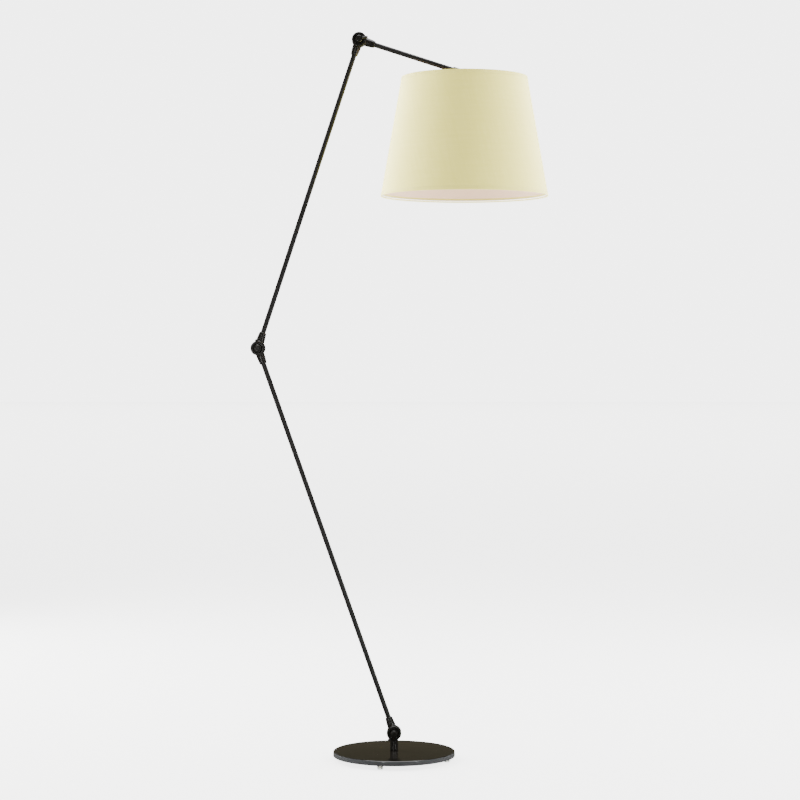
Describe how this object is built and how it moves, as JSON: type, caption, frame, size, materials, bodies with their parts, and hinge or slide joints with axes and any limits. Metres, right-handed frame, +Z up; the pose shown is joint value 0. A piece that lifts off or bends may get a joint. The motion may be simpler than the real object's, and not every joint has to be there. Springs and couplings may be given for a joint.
{
  "type": "adjustable arm floor lamp",
  "caption": "Floor lamp with a round base plate, two folding arms and a head arm on friction knuckles with clamping levers, and a tapered fabric shade that tilts.",
  "frame": {"origin": "on the floor under the centre of the base plate, below the mouth of the cord bush", "axes": "+Z up, +X towards the shade's side, +Y away from the side with the clamping levers; the arms fold in the XZ plane"},
  "size_m": [0.7222, 0.4072, 1.765],
  "materials": {
    "black_powder_coat": "semi-gloss black powder coat",
    "black_casting": "gloss black enamel on a zinc casting",
    "black_tube": "semi-gloss black powder coat",
    "black_lever": "gloss black enamel",
    "clear_bumper": "translucent soft bumper",
    "zinc_plated_steel": "zinc plated",
    "black_screw": "black oxide",
    "fibre": "pressed friction fibre",
    "black_nylon": "moulded nylon",
    "holder_plastic": "moulded white thermoplastic",
    "holder_ceramic": "unglazed porcelain",
    "brass_contact": "stamped",
    "white_wire": "white epoxy coat",
    "shade_fabric": "cream woven cotton laminated on the liner",
    "shade_lining": "pale liner sheet",
    "rim_tape": "cream woven tape",
    "opal_globe": "opal diffuser",
    "bulb_plastic": "white moulded plastic",
    "bulb_screw_cap": "rolled thread"
  },
  "bodies": {
    "base": {"base_plate": "black_powder_coat", "feet": "clear_bumper", "foot_screws": "zinc_plated_steel", "base_stem": "black_casting", "stem_nipple": "zinc_plated_steel", "stem_washer": "zinc_plated_steel", "stem_nut": "zinc_plated_steel", "cord_bush": "black_nylon", "base_bolt": "zinc_plated_steel", "base_friction_ring": "fibre"},
    "lower_arm": {"base_knuckle": "black_casting", "lower_tube": "black_tube", "elbow_lower_knuckle": "black_casting", "lower_grub_screws": "black_screw", "base_stop_pin": "zinc_plated_steel", "base_washers": "zinc_plated_steel", "elbow_bolt": "zinc_plated_steel", "elbow_friction_ring": "fibre"},
    "upper_arm": {"elbow_upper_knuckle": "black_casting", "upper_tube": "black_tube", "top_lower_knuckle": "black_casting", "upper_grub_screws": "black_screw", "elbow_stop_pin": "zinc_plated_steel", "elbow_washers": "zinc_plated_steel", "top_bolt": "zinc_plated_steel", "top_friction_ring": "fibre"},
    "head_arm": {"top_head_knuckle": "black_casting", "head_tube": "black_tube", "head_yoke": "black_casting", "head_grub_screws": "black_screw", "top_stop_pin": "zinc_plated_steel", "top_washers": "zinc_plated_steel", "tilt_screw": "zinc_plated_steel", "tilt_nut": "zinc_plated_steel"},
    "lamp_head": {"head_swivel": "black_casting", "tilt_washer": "fibre", "holder_cap": "holder_plastic", "holder_body": "holder_plastic", "holder_insert": "holder_ceramic", "holder_contacts": "brass_contact", "shade_clamp_rings": "holder_plastic", "shade_spider": "white_wire", "shade_bottom_ring": "white_wire", "shade_cloth": "shade_fabric", "shade_liner": "shade_lining", "shade_tapes": "rim_tape", "bulb_globe": "opal_globe", "bulb_base": "bulb_plastic", "bulb_cap": "bulb_screw_cap"},
    "base_lever": {"base_lever": "black_lever"},
    "elbow_lever": {"elbow_lever": "black_lever"},
    "top_lever": {"top_lever": "black_lever"}
  },
  "joints": [
    {"name": "base_tilt", "type": "hinge", "parent": "base", "child": "lower_arm", "pos_m": [0, 0, 0.065], "axis": [0, -1, 0], "range_deg": [-35, 20]},
    {"name": "elbow_tilt", "type": "hinge", "parent": "lower_arm", "child": "upper_arm", "pos_m": [-0.33009, 0, 1.00026], "axis": [0, 1, 0], "range_deg": [-45, 65]},
    {"name": "top_tilt", "type": "hinge", "parent": "upper_arm", "child": "head_arm", "pos_m": [-0.0845, 0, 1.74722], "axis": [0, -1, 0], "range_deg": [-10, 45]},
    {"name": "shade_tilt", "type": "hinge", "parent": "head_arm", "child": "lamp_head", "pos_m": [0.17067, 0, 1.66529], "axis": [0, -1, 0], "range_deg": [-12, 50]},
    {"name": "base_lever_turn", "type": "hinge", "parent": "base", "child": "base_lever", "pos_m": [0, 0, 0.065], "axis": [0, -1, 0], "range_deg": [0, 170]},
    {"name": "elbow_lever_turn", "type": "hinge", "parent": "lower_arm", "child": "elbow_lever", "pos_m": [-0.33009, 0, 1.00026], "axis": [0, -1, 0], "range_deg": [0, 170]},
    {"name": "top_lever_turn", "type": "hinge", "parent": "upper_arm", "child": "top_lever", "pos_m": [-0.0845, 0, 1.74722], "axis": [0, -1, 0], "range_deg": [0, 170]}
  ]
}
